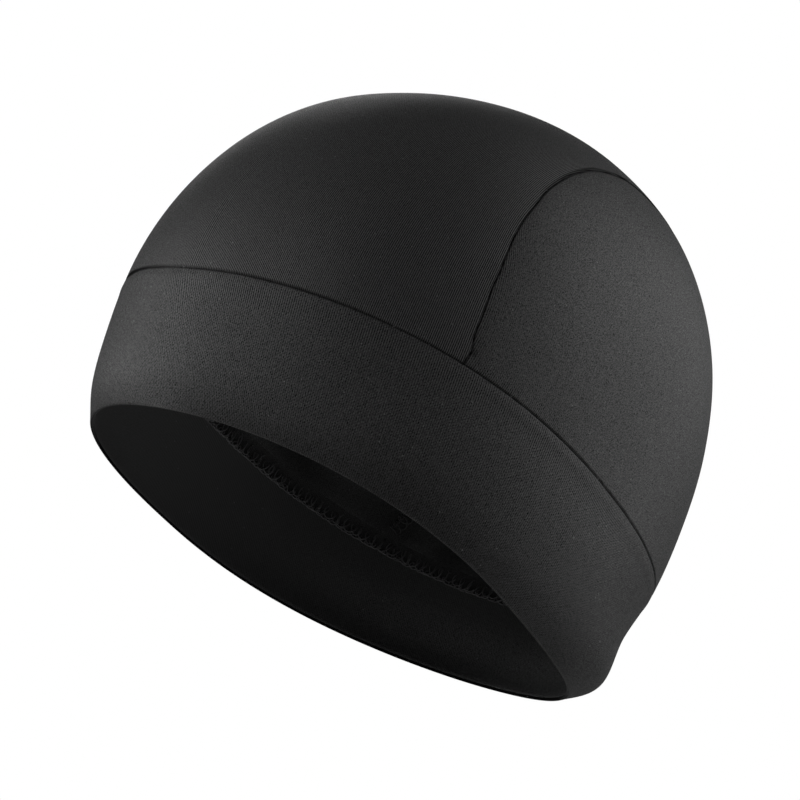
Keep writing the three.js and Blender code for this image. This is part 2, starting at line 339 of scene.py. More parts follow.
def painted_top_seam_shade(angle):
    """How strong the painted shade of the arched seams is, which is strongest over the top"""
    return TOP_SEAM_SHADE * ramp(np.sin(angle), *TOP_SEAM_SHADE_RANGE)


def painted_brow_seam_shade(x):
    """How strong the painted shade of the band's seam is, which is strongest on the wearer's right"""
    return ramp(-x, *BROW_SEAM_SHADE_RANGE)


def arch_reach(angle):
    """From the fan's line to the arched seam, which wanders a little as sewn seams do"""
    wander = sum(share * np.sin(turns * angle + start) for turns, start, share in WANDER_WAVES)
    tuck = TUCK_SHIFT * bell(angle - TUCK_ANGLE, TUCK_SPREAD)
    return station(ARCH_REACH, angle) + SEAM_WANDER * wander - tuck


def puckers(seam, length, distance):
    """How deep the small waves beside a seam are, by the length along it and the distance from it"""
    depth, start = PUCKERS[seam]
    waves = enumerate(PUCKER_WAVES, 1)
    height = sum(share * np.sin(math.tau * length / wave + start * i) for i, (wave, share) in waves)
    return depth * height * fade(distance, PUCKER_REACH)


def edge_shares(steps, near, far):
    """Shares from 0 to 1, close together at the near end and, if far is set, at the far end"""
    even = np.linspace(0, 1, steps)
    eased = even**near
    if far:
        eased = eased / (eased + (1 - even) ** far)
    return eased


def grid_lengths(grid, axis):
    """The length along the cloth of each point of a grid, from its first one"""
    steps = size_of(np.diff(grid, axis=axis))
    pad = [(0, 0), (0, 0)]
    pad[axis] = (1, 0)
    return np.pad(np.cumsum(steps, axis=axis), pad)


def round_lengths(sections):
    """The length round each section of a ring, back to its first point, and the first section's once more"""
    height = grid_lengths(np.concatenate([sections, sections[:, :1]], 1), 1)
    return np.concatenate([height, height[:1]])


# Meshes

MERGE_DISTANCE = 0.002 * METRES
# How light the crown's wrong side is: its own lighter colour with some painted light
CROWN_WRONG_SIDE = 0.3
INNER_RIBS = 0.4

# Painted light and shade of soft folds inside the crown, whose shape has no such folds: their strength,
# width, length, start and bend
SAG_LIGHT = 0.25
SAG_WIDTH = 6.5
SAG_LENGTH = 15
SAG_START = 0.8
SAG_BEND = 1.3
SAG_BEND_LENGTH = 21


def add_object(name, data):
    thing = bpy.data.objects.new(name, data)
    bpy.context.scene.collection.objects.link(thing)
    return thing


def made_object(name, build, material):
    """A mesh object from a bmesh"""
    mesh = bpy.data.meshes.new(name)
    build.to_mesh(mesh)
    build.free()
    mesh.materials.append(material)
    return add_object(name, mesh)


def mesh_piece(name, points, faces, face_uvs, marks):
    """A mesh object from points in millimetres, with cloth coordinates by face and marks by point"""
    mesh = bpy.data.meshes.new(name)
    mesh.from_pydata((points * METRES).tolist(), [], faces)
    cloth = mesh.uv_layers.new(name="cloth")
    cloth.data.foreach_set("uv", np.asarray(face_uvs, dtype=np.float32).ravel())
    for label, values in marks.items():
        layer = mesh.attributes.new(label, "FLOAT", "POINT")
        layer.data.foreach_set("value", np.asarray(values, dtype=np.float32).ravel())
    mesh.materials.append(jersey())
    build = bmesh.new()
    build.from_mesh(mesh)
    bmesh.ops.remove_doubles(build, verts=build.verts, dist=MERGE_DISTANCE)
    bmesh.ops.dissolve_degenerate(build, edges=build.edges, dist=MERGE_DISTANCE)
    build.to_mesh(mesh)
    build.free()
    mesh.shade_smooth()
    return add_object(name, mesh)


def painted_inner_folds(across, along):
    """Painted light and shade of soft folds on the crown's inner face, which has no such folds in its shape
    """
    bend = SAG_BEND * np.sin(along / SAG_BEND_LENGTH)
    return 1 + SAG_LIGHT * np.sin(across / SAG_WIDTH + bend) * np.sin(along / SAG_LENGTH + SAG_START)


def shell_piece(name, outer, inner, coordinates, ribs, shade):
    """A closed cloth panel from the grids of its outer and inner face"""
    rows, columns = outer.shape[:2]
    points = np.concatenate([outer.reshape(-1, 3), inner.reshape(-1, 3)])
    flat = coordinates.reshape(-1, 2)
    index = np.arange(rows * columns).reshape(rows, columns)
    under = index + rows * columns
    quads = []
    for face, turned in ((index, False), (under, True)):
        a, b, c, d = face[:-1, :-1], face[1:, :-1], face[1:, 1:], face[:-1, 1:]
        order = (a, d, c, b) if turned else (a, b, c, d)
        quads.append(np.stack([corner.ravel() for corner in order], -1))
    for edge in (index[:, 0], index[-1, :], index[::-1, -1], index[0, ::-1]):
        a, b = edge[:-1], edge[1:]
        quads.append(np.stack([a, a + rows * columns, b + rows * columns, b], -1))
    quads = np.concatenate(quads)
    marks = {
        "ribs": np.concatenate([ribs.ravel(), INNER_RIBS * ribs.ravel()]),
        "shade": np.concatenate([shade.ravel(), painted_inner_folds(*flat.T)]),
        "wrong_side": np.repeat([0.0, CROWN_WRONG_SIDE], rows * columns),
    }
    return mesh_piece(name, points, quads.tolist(), flat[quads % (rows * columns)], marks)


def grid_corners(rows, columns):
    """Row and column of each corner of the faces of a grid"""
    i, j = np.meshgrid(np.arange(rows), np.arange(columns), indexing="ij")
    return (i, j), (i, j + 1), (i + 1, j + 1), (i + 1, j)


def ring_piece(name, sections, coordinates, marks):
    """A closed ring from sections that stand round the head; its coordinates have one more row and column"""
    rows, columns = sections.shape[:2]
    corners = grid_corners(rows, columns)
    quads = np.stack([((a % rows) * columns + b % columns).ravel() for a, b in corners], -1)
    uvs = np.stack([coordinates[a.ravel(), b.ravel()] for a, b in corners], 1)
    return mesh_piece(name, sections.reshape(-1, 3), quads.tolist(), uvs, marks)


def strip_piece(name, sections, marks):
    """A strip with closed ends from sections along it"""
    rows, columns = sections.shape[:2]
    corners = grid_corners(rows - 1, columns)
    quads = np.stack([(a * columns + b % columns).ravel() for a, b in corners], -1).tolist()
    flat = np.stack([grid_lengths(sections, 0), grid_lengths(sections, 1)], -1).reshape(-1, 2)
    first = list(range(columns))[::-1]
    last = [(rows - 1) * columns + k for k in range(columns)]
    faces = [*quads, first, last]
    uvs = np.concatenate([flat[face] for face in faces])
    return mesh_piece(name, sections.reshape(-1, 3), faces, uvs, marks)


def finish_piece(piece, node):
    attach(piece, "root")
    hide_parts(node)


# Node trees

MARKS = ("ribs", "shade", "wrong_side")
BLACK = (0.0, 0.0, 0.0, 1.0)
WHITE = (1.0, 1.0, 1.0, 1.0)

# Scale and detail of the jersey's noises: drift, patches, mottle, grain and fine grain
NOISES = ((60.0, 2.0), (28.0, 1.0), (420.0, 3.0), (2000.0, 1.0), (3400.0, 1.0))
RIB_DRIFT = 2
RIB_PATCHES = 1.2
COURSE_BEND = 1.5
COURSE_SHARE = 0.2
MOTTLE_SHARE = 0.1

# How far mottle and drift turn the grain's loops, across and along
LOOP_BENDS = (22, 17, 9)

# The grain's light and dark: shares of grain, fine grain and loops, and how wrong side and ribs calm it
SPECKLE_SHARES = (0.7, 1.65, 0.2)
WRONG_SIDE_CALM = 0.6
RIB_CALM_START = 1.3
RIB_CALM = 0.7

BRIGHTEST = 4
SHEEN_ROUGHNESS = 0.3
GRAIN_ROUGHNESS = 0.3
LINT_CELL = 0.35
LINT_LIGHT = 1.3
LINT_SMOOTHNESS = 0.1

# Overlock thread: its share of light, and how much more at the edge, and the scale and depth of its fuzz
THREAD_BRIGHTEST = 2
THREAD_DULL = 0.27
THREAD_EDGE = 0.8
FUZZ_SCALE = 2600.0
FUZZ_DEPTH = 0.12


class Wire:
    """An output of a node. Arithmetic on it adds Math nodes."""

    def __init__(self, nodes, socket):
        self.nodes = nodes
        self.socket = socket

    def math(self, operation, *values):
        return self.nodes.add("ShaderNodeMath", dict(enumerate(values)), operation=operation)

    def __add__(self, other):
        return self.math("ADD", self, other)

    def __sub__(self, other):
        return self.math("SUBTRACT", self, other)

    def __rsub__(self, other):
        return self.math("SUBTRACT", other, self)

    def __mul__(self, other):
        return self.math("MULTIPLY", self, other)

    __radd__ = __add__
    __rmul__ = __mul__

    def sine(self):
        return self.math("SINE", self)

    def clamp(self):
        return self.nodes.add("ShaderNodeClamp", {"Value": self})

    def clamp_low(self):
        return self.math("MAXIMUM", self, 0.0)


class Nodes:
    """Adds nodes to a tree. A node's settings come before its inputs, as some change its sockets."""

    def __init__(self, tree):
        self.tree = tree
        tree.nodes.clear()

    def add(self, kind, inputs={}, output=0, **settings):
        """The wire from one output of a new node, or all its wires if output is None"""
        made = self.tree.nodes.new(kind)
        for name, value in settings.items():
            setattr(made, name, value)
        for key, value in inputs.items():
            if isinstance(value, Wire):
                self.tree.links.new(value.socket, made.inputs[key])
            else:
                made.inputs[key].default_value = value
        wires = [Wire(self, socket) for socket in made.outputs]
        return wires[output] if wires and output is not None else wires

    def mark(self, name):
        return self.add("ShaderNodeAttribute", output=2, attribute_name=name)

    def noise(self, scale, detail=2.0):
        """A noise over the place on the object"""
        place = self.add("ShaderNodeTexCoord", output=3)
        return self.add("ShaderNodeTexNoise", {"Vector": place, "Scale": scale, "Detail": detail})

    def tint(self, share, colour, brightest):
        """A share, from 0 to 1, of a colour that is made brighter first"""
        bright = (*[brightest * part for part in colour], 1.0)
        return self.add("ShaderNodeMix", {0: share, 6: BLACK, 7: bright}, 2, data_type="RGBA")

    def finish(self, inputs, shader="ShaderNodeBsdfPrincipled", output="ShaderNodeOutputMaterial"):
        """Ends a shader tree with its shader and its output"""
        self.add(output, {"Surface": self.add(shader, inputs)})


def new_material(name):
    material = bpy.data.materials.new(name)
    material.use_nodes = True
    return material, Nodes(material.node_tree)


def jersey_material(cloth):
    """Smooth stretch jersey: fine ribs along the knit, a mottled satin grain and a few specks of lint"""
    material, nodes = new_material("black_jersey")
    place = nodes.add("ShaderNodeUVMap", uv_map="cloth")
    u, v, _ = nodes.add("ShaderNodeSeparateXYZ", {"Vector": place}, None)
    ribs_mark, painted_shade, wrong_side = (nodes.mark(name) for name in MARKS)
    drift, patches, mottle, grain, fine = (nodes.noise(*noise) - 0.5 for noise in NOISES)

    ribs = (u * (math.tau / cloth.rib_pitch) + drift * RIB_DRIFT).sine()
    courses = (v * (math.tau / cloth.course_pitch) + ribs * COURSE_BEND).sine()
    ribs = ribs * (ribs_mark * (1 + RIB_PATCHES * patches)).clamp_low()
    height = ribs * cloth.rib_depth + courses * (COURSE_SHARE * cloth.rib_depth)
    height = height + (grain + MOTTLE_SHARE * mottle) * cloth.grain_depth
    bump = nodes.add("ShaderNodeBump", {"Height": height * METRES, "Distance": 1.0, "Strength": 1.0})

    cell = nodes.add("ShaderNodeVectorMath", {0: place, 1: [LINT_CELL] * 3}, operation="SNAP")
    chance = nodes.add("ShaderNodeTexWhiteNoise", {"Vector": cell}, noise_dimensions="3D")
    lint = chance.math("GREATER_THAN", chance, 1 - cloth.lint_share)

    turn = math.tau / cloth.loop_pitch
    across, along, wide = LOOP_BENDS
    loops = (u * turn + mottle * across).sine() * (v * turn - mottle * along + drift * wide).sine()
    grain_share, fine_share, loop_share = SPECKLE_SHARES
    speckle = grain_share * grain + fine_share * fine + loop_share * loops
    speckle = speckle * (1 - WRONG_SIDE_CALM * wrong_side) * (RIB_CALM_START - RIB_CALM * ribs_mark).clamp()
    # The ribs' light and dark is painted into the colour, on top of their bump
    shade = (1 + ribs * cloth.rib_contrast + speckle * cloth.grain_contrast).clamp_low()
    # Painted light and shade from the marks: seams, rim, fold, tuck, allowances and the crown's inner folds
    shade = shade * painted_shade * (1 + wrong_side * cloth.wrong_side_and_painted_lift) + LINT_LIGHT * lint
    surface = {
        "Base Color": nodes.tint((shade * (1 / BRIGHTEST)).clamp(), cloth.jersey_colour, BRIGHTEST),
        "Roughness": (cloth.jersey_roughness + GRAIN_ROUGHNESS * grain - LINT_SMOOTHNESS * lint).clamp(),
        "Specular IOR Level": 0.0,
        # The painted shade dims the coat's highlights too
        "Coat Weight": (shade * cloth.jersey_gloss).clamp(),
        "Coat Roughness": cloth.jersey_roughness,
        "Sheen Weight": cloth.sheen,
        "Sheen Roughness": SHEEN_ROUGHNESS,
        "Normal": bump,
    }
    nodes.finish(surface)
    return material


def thread_material(name, colour):
    """Textured overlock thread: soft, with the twist of its filaments"""
    material, nodes = new_material(name)
    fuzz = nodes.noise(FUZZ_SCALE)
    light = fuzz * (THREAD_DULL + THREAD_EDGE * nodes.mark("edge"))
    surface = {
        "Base Color": nodes.tint(light, colour, THREAD_BRIGHTEST),
        "Roughness": 0.6,
        "Specular IOR Level": 0.4,
        "Sheen Weight": 0.1,
        "Normal": nodes.add("ShaderNodeBump", {"Height": fuzz * (FUZZ_DEPTH * METRES), "Distance": 1.0}),
    }
    nodes.finish(surface)
    return material


def jersey():
    return bpy.data.materials.get("black_jersey") or jersey_material(bpy.context.scene.cap_cloth)


def thread(name):
    """The band's overlock thread, or the duller one of the arched seams"""
    return bpy.data.materials.get(name) or thread_material(name, getattr(bpy.context.scene.cap_cloth, name))


# Settings


def colour(name, description, default):
    return FloatVectorProperty(
        name=name, description=description, default=default, size=3, min=0, max=1, subtype="COLOR"
    )


def number(name, description, default, lowest=0, **more):
    return FloatProperty(name=name, description=description, default=default, min=lowest, **more)


def factor(name, description, default, highest=1):
    return number(name, description, default, max=highest, subtype="FACTOR")


def millimetres(name, description, default, lowest=0):
    return number(name, f"{description}, in mm", default, lowest)


def metres(name, description, default, lowest):
    return number(name, description, default, lowest, unit="LENGTH")


class CapCloth(bpy.types.PropertyGroup):
    """Colours and fineness of the cloth and its seams"""

    jersey_colour: colour("Jersey colour", "Colour of the jersey", (0.0285, 0.0285, 0.0287))
    band_thread: colour("Band thread", "Colour of the overlock thread round the band", (0.062, 0.062, 0.063))
    arch_thread: colour("Arch thread", "Colour of the thread along the arched seams", (0.018, 0.018, 0.0183))
    jersey_roughness: factor("Roughness", "Roughness of the jersey", 0.56)
    jersey_gloss: factor("Gloss", "Strength of the jersey's highlights", 0.4)
    sheen: factor("Sheen", "Soft light at glancing angles", 0.04)
    rib_pitch: millimetres("Rib pitch", "From rib to rib of the knit", 0.58, 0.2)
    rib_depth: millimetres("Rib depth", "Height of the knit's ribs", 0.02)
    course_pitch: millimetres("Course pitch", "From course to course of the knit", 0.7, 0.2)
    loop_pitch: millimetres("Loop pitch", "From loop to loop of the grain", 0.95, 0.2)
    rib_contrast: number("Rib contrast", "Light and dark of the ribs", 0.85)
    grain_depth: millimetres("Grain depth", "Depth of the cloth's grain", 0.06)
    grain_contrast: number("Grain contrast", "Light and dark of the cloth's grain", 1.5)
    # Scales the wrong side's own lighter colour and the painted light inside the cap
    wrong_side_and_painted_lift: number("Wrong side", "How much lighter the cloth's wrong side is", 0.35)
    lint_share: factor("Lint", "Share of the cloth with a speck of lint", 0.0005, 0.01)
    groove_depth: millimetres("Groove depth", "Depth of the seams", 1.15)
    seam_swell: millimetres("Seam swell", "Swell of the band below its seam", 0.15)


class CapStitching(bpy.types.PropertyGroup):
    """Sizes of the overlock stitches"""

    loop_length: metres("Loop length", "From loop to loop", 0.0028, 0.001)
    loop_height: metres("Loop height", "Across the seam allowance", 0.0046, 0.001)
    knot_length: metres("Knot length", "From knot to knot along the edge", 0.0021, 0.0005)
    knot_height: metres("Knot height", "Height of an edge knot", 0.0018, 0.0003)
    thickness: metres("Thread thickness", "Thickness of the thread", 0.00042, 0.0001)
    sides: IntProperty(name="Sides", description="Sides of the thread", default=4, min=3, max=12)


class CapStage(bpy.types.PropertyGroup):
    """Floor and light"""

    floor_colour: colour("Floor colour", "Colour of the floor", (0.8, 0.8, 0.8))
    floor_drop: metres("Floor drop", "From the cap's rim down to the floor", 0.85, 0.1)
    light_scale: number("Light", "Strength of all the lights", 1.0)


# Pieces

BAND_AROUND = 480
BAND_AZIMUTHS = np.arange(BAND_AROUND) * (math.tau / BAND_AROUND)
BAND_ROWS = 44
BAND_EASING = 1.8
INNER_SWELL = 0.4
FOLD_STEPS = 10
# Painted shade and painted light on the rim's fold: its shade at the right back, its light at the left front,
# the azimuth of most light and how sharply it turns
FOLD_SHADE = 0.05
FOLD_LIGHT = 1.3
FOLD_AZIMUTH = math.radians(48)
FOLD_LIGHT_EDGE = 2

# Painted shade on the outside towards the rim, by degrees from the brow, and how far up it reaches
DARK_RIM_TURNS = (0, 12, 30, 52, 85, 115, 138)
DARK_RIM_DEPTH = (0, 0.28, 0.28, 0.46, 0.46, 0.42, 0)
DARK_RIM_REACH = (4.5, 4.5, 4.5, 13, 13, 8, 8)

# How much lighter the band's wrong side is, from its own lighter colour and from painted light: all over,
# more at the right of the brow and at the nape, less at its rim
WRONG_SIDE_LIGHT = 0.8
BRIGHT_AZIMUTH = math.radians(-55)
BRIGHT_LIFT = 1.3
DULL_AZIMUTH = math.radians(165)
NAPE_LIFT = 0.6
RIM_LOSS = 1.3
RIM_LOSS_RANGE = (4, 14)

# How the ribs lie and how clearly they show, on each piece
BAND_RIB_DENSITY = 0.85
BAND_RIB_SLANT = 0.21
BAND_RIBS = 0.38
BAND_SEAM_RIBS = 0.32
BAND_SEAM_RIBS_PLACE = 4.5
BAND_SEAM_RIBS_WIDTH = 3.5
BAND_INNER_RIBS = 0.25
FAINT_RIBS = 0.08
FAINT_RIBS_RANGE = (-42, 26)
ARCH_RIBS = 0.2
ARCH_RIBS_WIDTH = 9
ARCH_RIB_WIDENING = 0.045
ARCH_RIB_POWER = 9
SIDE_RIBS = 0.12
SIDE_SEAM_RIBS = 0.6
SIDE_SEAM_RIBS_WIDTH = 3
SIDE_RIB_BEND = 0.004

CENTRE_ALONG = 240
CENTRE_ACROSS = 110
CENTRE_WIDTH = 170
CENTRE_EASING = 1.35
SIDE_ALONG = 300
SIDE_UP = 70
PANEL_EASING = 1.5
ARCH_SHADE_SHIFT = 0.2
ARCH_DIP = 0.3
ARCH_DIP_WIDTH = 2
TUCK_DEPTH = 0.4
# Painted shade in the tuck, beside its dent
TUCK_SHADE = 0.4


def rib_bump_and_painted_shade(x):
    """How clearly the ribs show, in their bump and in their painted light and shade, which fade on the
    wearer's right
    """
    return FAINT_RIBS + (1 - FAINT_RIBS) * ramp(x, *FAINT_RIBS_RANGE)


def fold_shade(azimuth):
    """Painted light and shade on the rim's fold: painted light on the left front and painted shade on the
    right back
    """
    lit = np.clip(0.5 + FOLD_LIGHT_EDGE * np.cos(azimuth - FOLD_AZIMUTH), 0, 1)
    return FOLD_SHADE + (FOLD_LIGHT - FOLD_SHADE) * lit


def painted_rim_shade(azimuth, to_rim):
    """Painted shade that darkens the outside towards the rim: widely over the ears, narrowly beside the brow
    """
    turn = np.degrees(np.abs((azimuth + math.pi) % math.tau - math.pi))
    depth = np.interp(turn, DARK_RIM_TURNS, DARK_RIM_DEPTH)
    return 1 - depth * bell(to_rim, np.interp(turn, DARK_RIM_TURNS, DARK_RIM_REACH))


def inside_painted_light(azimuth, distance):
    """How light the band's wrong side is, its own lighter colour with painted light, at an azimuth and a
    distance from the seam
    """
    bright = np.clip(np.cos(azimuth - BRIGHT_AZIMUTH), 0, 1) ** 2
    dull = np.clip(np.cos(azimuth - DULL_AZIMUTH), 0, 1) ** 2
    nape = NAPE_LIFT - RIM_LOSS * ramp(distance, *RIM_LOSS_RANGE)
    return WRONG_SIDE_LIGHT + BRIGHT_LIFT * bright + dull * nape


class CAP_OT_brow_band(bpy.types.Operator):
    """Makes the brow band, folded double at the rim"""

    bl_idname = "cap.brow_band"
    bl_label = "Brow band"

    def execute(self, context):
        cloth = context.scene.cap_cloth
        azimuth = BAND_AZIMUTHS
        fold_row = FOLD_THICKNESS / 2 / FIRST_ROW_LENGTH
        rows = LAST_ROW - (LAST_ROW - fold_row) * edge_shares(BAND_ROWS, BAND_EASING, 0)
        seam = band_line(azimuth, LAST_ROW)
        seam_length = size_of(np.roll(seam, -1, 0) - seam).cumsum()
        lines, distances = [], []
        here = seam_point(azimuth, 0)
        for row in rows:
            point, _, out = band_frame(azimuth, row)
            distance = size_of(point - here)
            depth = sewn_depth(distance, cloth.groove_depth, cloth.seam_swell)
            depth = depth + puckers("band", seam_length, distance)
            lines.append(point - out * depth[:, None])
            distances.append(distance)
        point, up, out = band_frame(azimuth, fold_row)
        centre = point - out * FOLD_THICKNESS / 2
        for turn in np.linspace(0, math.pi, FOLD_STEPS + 1)[1:-1]:
            lines.append(centre + (out * math.cos(turn) - up * math.sin(turn)) * FOLD_THICKNESS / 2)
            distances.append(np.full(BAND_AROUND, BAND_WIDTH))
        for row in rows[::-1]:
            point, _, out = band_frame(azimuth, row)
            share = min((row - fold_row) * FIRST_ROW_LENGTH / FOLD_TAPER, 1)
            thickness = FOLD_THICKNESS + (BAND_THICKNESS - FOLD_THICKNESS) * share * share * (3 - 2 * share)
            lines.append(band_line(azimuth, row, INNER_SWELL) - out * thickness)
            distances.append(size_of(point - here))
        sections = np.stack(lines, 1)
        height = round_lengths(sections)
        count = round(seam_length[-1] / cloth.rib_pitch * BAND_RIB_DENSITY)
        width = np.linspace(0, count * cloth.rib_pitch, BAND_AROUND + 1)
        coordinates = np.stack([width[:, None] - BAND_RIB_SLANT * height, height], -1)
        distance = np.stack(distances, 1)
        azimuth = azimuth[:, None]
        inside = np.zeros(distance.shape)
        inside[:, len(rows) + FOLD_STEPS // 2 :] = 1
        seam_ribs = BAND_SEAM_RIBS * bell(distance - BAND_SEAM_RIBS_PLACE, BAND_SEAM_RIBS_WIDTH)
        ribs = (BAND_RIBS + seam_ribs) * rib_bump_and_painted_shade(sections[..., 0])
        # Painted shade beside the band seam on the outside
        shade = np.where(inside, 1, seam_shade(distance, painted_brow_seam_shade(sections[..., 0])))
        # Painted light and shade on the fold's turn
        shade[:, len(rows) : len(rows) + FOLD_STEPS - 1] = fold_shade(azimuth)
        to_rim = np.clip(height[:-1, len(rows) - 1][:, None] - height[:-1, :-1], 0, None)
        marks = {
            "ribs": np.where(inside, BAND_INNER_RIBS, ribs),
            # Painted shade on the outside towards the rim
            "shade": np.where(inside, shade, shade * painted_rim_shade(azimuth, to_rim)),
            # The wrong side's lighter colour with painted light inside the band
            "wrong_side": inside * inside_painted_light(azimuth, distance),
        }
        piece = ring_piece("brow_band", sections, coordinates, marks)
        finish_piece(piece, "band")
        return {"FINISHED"}


class CAP_OT_centre_panel(bpy.types.Operator):
    """Makes the centre panel, from brow to nape"""

    bl_idname = "cap.centre_panel"
    bl_label = "Centre panel"

    def execute(self, context):
        cloth = context.scene.cap_cloth
        side = 1 - 2 * edge_shares(CENTRE_ACROSS, PANEL_EASING, PANEL_EASING)
        spread = np.abs(side)
        front, back = (end_angle(spread, -SEAM_LAP, behind, -SEAM_LAP) for behind in (False, True))
        share = edge_shares(CENTRE_ALONG, CENTRE_EASING, CENTRE_EASING)[:, None]
        angle = front + (back - front) * share
        radius = spread_radius(angle, spread, -SEAM_LAP)
        mirror = np.sign(side)[None, :, None] * [1, 0, 0] + [0, 1, 1]
        base = crown_point(angle, radius)
        to_arch = distance_to(base, arch_seam_line())
        right_way = base * mirror
        to_band = distance_to(right_way, band_seam_line())
        along = grid_lengths(right_way, 0)
        across = grid_lengths(right_way, 1)
        across -= across[:, CENTRE_ACROSS // 2][:, None]
        depth = sewn_depth(np.minimum(to_arch, to_band), cloth.groove_depth)
        depth = depth + puckers("arch", along, to_arch) + puckers("crown", across, to_band)
        outer = crown_point(angle, radius, depth) * mirror
        inner = crown_point(angle, radius, inner_depth(to_band)) * mirror
        over = np.clip(np.sin(angle), 0, 1)
        knit = np.sign(side) * panel_share(angle, radius)
        knit = knit - ARCH_RIB_WIDENING * over**2 * knit**ARCH_RIB_POWER
        coordinates = np.stack([knit * CENTRE_WIDTH / 2, along], -1)
        # Painted shade beside the arched seam and the band seam
        arch_shade = seam_shade(to_arch - ARCH_SHADE_SHIFT, painted_top_seam_shade(angle))
        shade = np.minimum(arch_shade, seam_shade(to_band, painted_brow_seam_shade(right_way[..., 0])))
        ribs = rib_bump_and_painted_shade(right_way[..., 0]) + ARCH_RIBS * fade(to_arch, ARCH_RIBS_WIDTH) * over
        piece = shell_piece("centre_panel", outer, inner, coordinates, ribs, shade)
        finish_piece(piece, "crown_center_panel")
        return {"FINISHED"}


def side_panel(name, cloth, turn):
    """A side panel, laid out as seen from the side. turn is 1 on the left and -1 on the right."""
    angle = arch_angles(SEAM_LAP, -SEAM_LAP, edge_shares(SIDE_ALONG, PANEL_EASING, PANEL_EASING))
    radius = arch_reach(angle) + SEAM_LAP
    high = np.stack([FAN_Y - radius * np.cos(angle), FAN_Z + radius * np.sin(angle)], -1)
    share = (high[:, 0] - high[0, 0]) / (high[-1, 0] - high[0, 0])
    low_y = high[0, 0] + (high[-1, 0] - high[0, 0]) * np.clip(share, 0, 1)
    low = np.stack([low_y, seam_height(low_y) - SEAM_LAP], -1)
    low[0], low[-1] = high[0], high[-1]
    up = edge_shares(SIDE_UP, PANEL_EASING, PANEL_EASING)[None, :, None]
    seen = low[:, None] + (high - low)[:, None] * up
    angle, radius = fan_place(seen[..., 0], seen[..., 1])
    base = crown_point(angle, radius)
    to_arch = distance_to(base, arch_seam_line())
    to_band = distance_to(base, band_seam_line())
    nearest = np.minimum(to_arch, to_band)
    tuck = crown_point(TUCK_ANGLE, arch_reach(TUCK_ANGLE) - TUCK_SIZE)
    in_tuck = bell(size_of(base - tuck), TUCK_SIZE)
    depth = sewn_depth(nearest, cloth.groove_depth)
    depth = np.minimum(depth + ARCH_DIP * fade(to_arch, ARCH_DIP_WIDTH), cloth.groove_depth)
    depth = depth + puckers("side", grid_lengths(base, 0), to_band) + TUCK_DEPTH * in_tuck
    outer = crown_point(angle, radius, depth) * [turn, 1, 1]
    inner = crown_point(angle, radius, inner_depth(to_band)) * [turn, 1, 1]
    rise = seen[..., 1] - SEAM_HEIGHT[1]
    knit = np.stack([seen[..., 0] + SIDE_RIB_BEND * rise**2, grid_lengths(base, 1)], -1)
    ribs = SIDE_RIBS + SIDE_SEAM_RIBS * fade(nearest, SIDE_SEAM_RIBS_WIDTH)
    # Painted shade beside the seams and in the tuck
    shade = seam_shade(nearest, painted_top_seam_shade(angle)) * (1 - TUCK_SHADE * in_tuck)
    grids = [outer, inner, knit, ribs, shade]
    if turn > 0:
        grids = [grid[::-1] for grid in grids]
    return shell_piece(name, *grids)


class CAP_OT_side_panels(bpy.types.Operator):
    """Makes the side panels, one over each ear"""

    bl_idname = "cap.side_panels"
    bl_label = "Side panels"

    def execute(self, context):
        for side, turn in SIDES:
            piece = side_panel(f"{side}_side_panel", context.scene.cap_cloth, turn)
            finish_piece(piece, f"side_panel_{side}")
        return {"FINISHED"}


# Seam allowances, inside

EDGE_GAP = 0.5
EDGE_TURNS = 6
EDGE_RIBS = 0.2
BAND_EDGE_HEIGHT = 7.5
BAND_EDGE_RISE = 0.9
BAND_EDGE_THICKNESS = 1.2
# Painted shade on the band allowance's lower edge and on all of the arched allowances
BAND_EDGE_SHADE = 0.35
# Wrong side of the band allowance: its lighter colour with painted light
BAND_EDGE_WRONG_SIDE = 0.6
ARCH_EDGE_WIDTH = 6
ARCH_EDGE_THICKNESS = 1.1
ARCH_EDGE_SHADE = 0.6
ARCH_EDGE_CLEAR = 0.7 / 300


def rounded_strip(top, bottom, out, thickness):
    """Sections of a cloth strip with round edges, from its top and bottom lines and the way off the head"""
    half = thickness / 2
    across = unit(bottom - top)
    middle_top, middle_bottom = top + across * half, bottom - across * half
    turns = np.linspace(0, math.pi, EDGE_TURNS)
    lines = [middle_top + out * half * math.cos(t) - across * half * math.sin(t) for t in turns]
    lines += [middle_bottom - out * half * math.cos(t) + across * half * math.sin(t) for t in turns]
    return np.stack(lines, 1)


def band_edge_lines():
    """Top and bottom of the band's seam allowance, and the way out of the cloth, on its middle layer"""
    top_row = LAST_ROW + BAND_EDGE_RISE / LAST_ROW_LENGTH
    depth = BAND_THICKNESS + EDGE_GAP + BAND_EDGE_THICKNESS / 2
    lines = []
    for row in (top_row, top_row - BAND_EDGE_HEIGHT / LAST_ROW_LENGTH):
        point, _, out = band_frame(BAND_AZIMUTHS, row)
        lines.append(point - out * depth)
    return *lines, out


def arch_edge_lines():
    """The same for the left arched seam's allowance, which lies over the side panel"""
    angle = arch_angles(0, 0, np.linspace(ARCH_EDGE_CLEAR, 1 - ARCH_EDGE_CLEAR, SIDE_ALONG))
    seam = arch_reach(angle)
    depth = JERSEY_THICKNESS + EDGE_GAP + ARCH_EDGE_THICKNESS / 2
    top, bottom = crown_point(angle, seam, depth), crown_point(angle, seam - ARCH_EDGE_WIDTH, depth)
    middle = seam - ARCH_EDGE_WIDTH / 2
    return top, bottom, crown_point(angle, middle) - crown_point(angle, middle, 1.0)


def edge_marks(shape, shade, wrong_side):
    """The marks of a seam allowance: plain ribs, with the given painted shade and wrong side"""
    values = {"ribs": EDGE_RIBS, "shade": shade, "wrong_side": wrong_side}
    return {label: np.full(shape, value) for label, value in values.items()}


